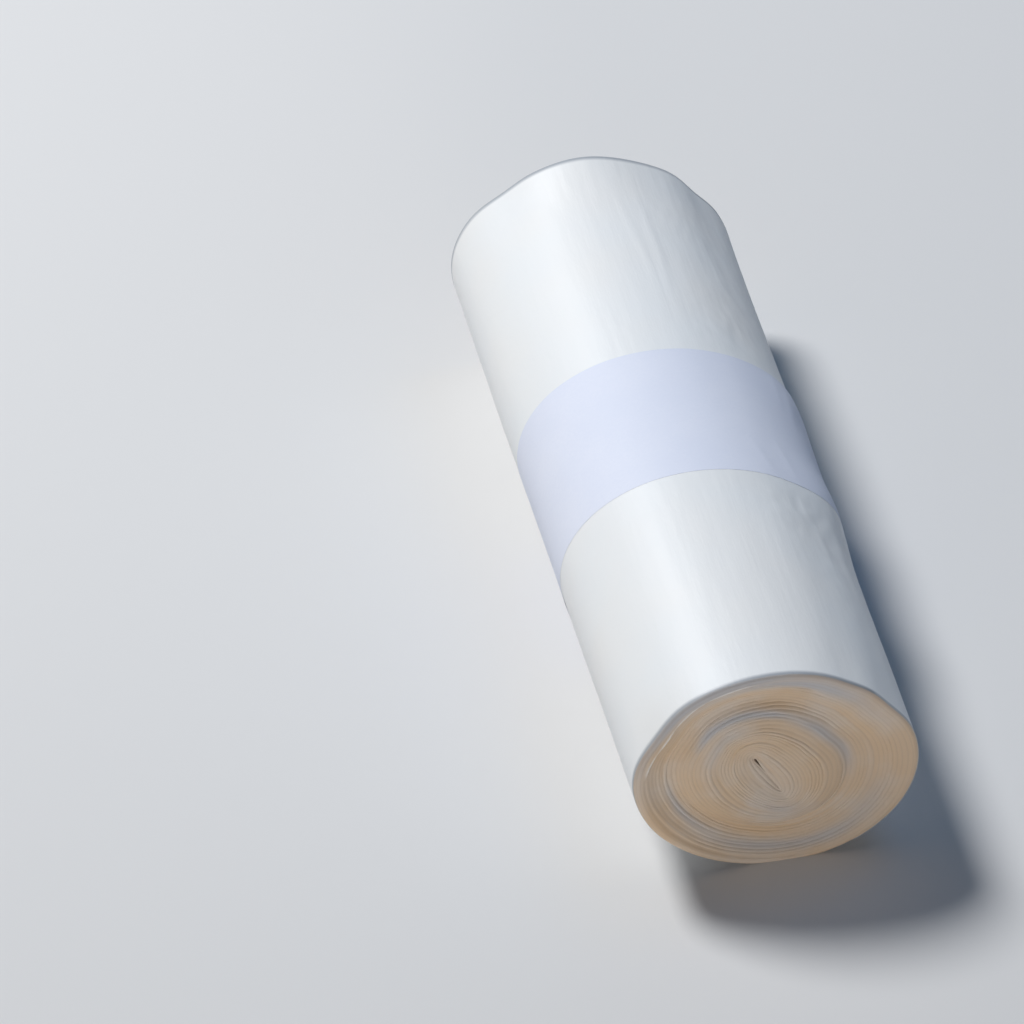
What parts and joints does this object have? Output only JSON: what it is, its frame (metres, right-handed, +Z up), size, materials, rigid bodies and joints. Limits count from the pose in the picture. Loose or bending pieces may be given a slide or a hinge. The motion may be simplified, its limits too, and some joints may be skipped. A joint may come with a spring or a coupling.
{
  "type": "bin bag roll",
  "caption": "Coreless roll of white plastic bin bags, wound flat-lying to an oval with dished ends, held by a plain pale lavender paper band glued on itself",
  "frame": {"origin": "on the surface that the roll lies on, below the middle of its box", "axes": "+Y along the roll from its front end to its back end, +X across it, +Z up from the flat spot that it lies on"},
  "size_m": [0.1054, 0.29, 0.0898],
  "materials": {
    "film": "satin",
    "band_paper": "matte"
  },
  "bodies": {
    "root": {"bag_roll": "film", "label_band": "band_paper"}
  },
  "joints": []
}
